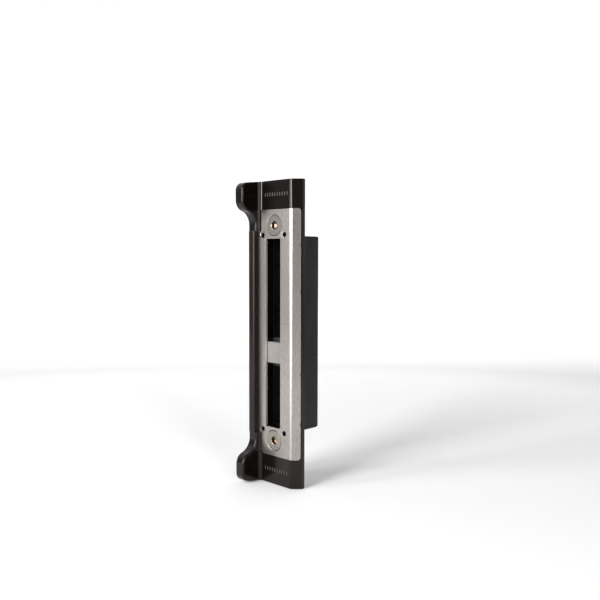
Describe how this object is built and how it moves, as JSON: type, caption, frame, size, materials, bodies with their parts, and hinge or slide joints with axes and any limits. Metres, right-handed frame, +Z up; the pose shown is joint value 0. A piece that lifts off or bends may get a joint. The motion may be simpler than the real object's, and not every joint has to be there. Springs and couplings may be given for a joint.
{
  "type": "electric door strike",
  "caption": "Surface-mounted door strike for a square post: long stainless plate with a closed slot, black end caps with stop lobes, and a motor-driven latch ejector behind it.",
  "frame": {"origin": "midway between the two mounting screws, on the post's face", "axes": "+Z up along the strike's length, the front faces -Y, the post is on the +Y side"},
  "size_m": [0.0352, 0.0375, 0.1688],
  "materials": {
    "stainless": "brushed",
    "black_polyamide": "satin",
    "rail_polyamide": "satin",
    "pale_block": "matte",
    "nickel_screw": "satin",
    "small_screw": "zinc plated",
    "case_plastic": "matte",
    "dark_steel": "black oxide",
    "bar_steel": "ground",
    "gear_brass": "machined",
    "motor_nickel": "nickel plated",
    "switch_black": "moulded",
    "switch_button": "moulded",
    "board_green": "solder mask",
    "chip_black": "moulded",
    "terminal_green": "moulded"
  },
  "bodies": {
    "housing": {"face_plate": "stainless", "base_frame": "black_polyamide", "upper_cap": "black_polyamide", "lower_cap": "black_polyamide", "stop_rail": "rail_polyamide", "bridge_block": "pale_block", "block_screws": "small_screw", "mounting_screws": "nickel_screw", "rear_case": "case_plastic", "case_cover": "case_plastic", "cover_screws": "small_screw", "case_screws": "small_screw", "motor_can": "motor_nickel", "gearbox": "gear_brass", "motor_clamp": "bar_steel", "clamp_screws": "small_screw", "micro_switch": "switch_black", "circuit_board": "board_green", "board_parts": "chip_black", "terminal_block": "terminal_green", "terminal_screws": "small_screw"},
    "ejector": {"latch_ejector": "dark_steel", "ejector_pins": "bar_steel"},
    "bar": {"cam_bar": "bar_steel"},
    "pinion": {"drive_pinion": "gear_brass", "motor_shaft": "motor_nickel"},
    "lever": {"sensor_finger": "dark_steel", "sensor_tail": "dark_steel", "sensor_shaft": "bar_steel"},
    "button": {"switch_button": "switch_button"}
  },
  "joints": [
    {"name": "bar_slide", "type": "slide", "parent": "housing", "child": "bar", "axis": [0, 0, -1], "range_m": [0, 0.0114]},
    {"name": "ejector_slide", "type": "slide", "parent": "housing", "child": "ejector", "axis": [0, -1, 0], "range_m": [0, 0.0114]},
    {"name": "pinion_spin", "type": "hinge", "parent": "housing", "child": "pinion", "pos_m": [0.0086, 0.0075, -0.011], "axis": [-1, 0, 0], "range_deg": [0, 136.2]},
    {"name": "lever_swing", "type": "hinge", "parent": "housing", "child": "lever", "pos_m": [-0.0008, 0.0105, -0.0465], "axis": [-1, 0, 0], "range_deg": [0, 8], "stiffness_Nm_per_rad": 0.01},
    {"name": "button_press", "type": "slide", "parent": "housing", "child": "button", "axis": [0, 1, 0], "range_m": [0, 0.00092]}
  ],
  "couplings": [
    {"joint": "ejector_slide", "follows": "bar_slide", "ratio": 1},
    {"joint": "pinion_spin", "follows": "bar_slide", "rad_per_m": 208.33},
    {"joint": "button_press", "follows": "lever_swing", "m_per_rad": 0.0065}
  ]
}
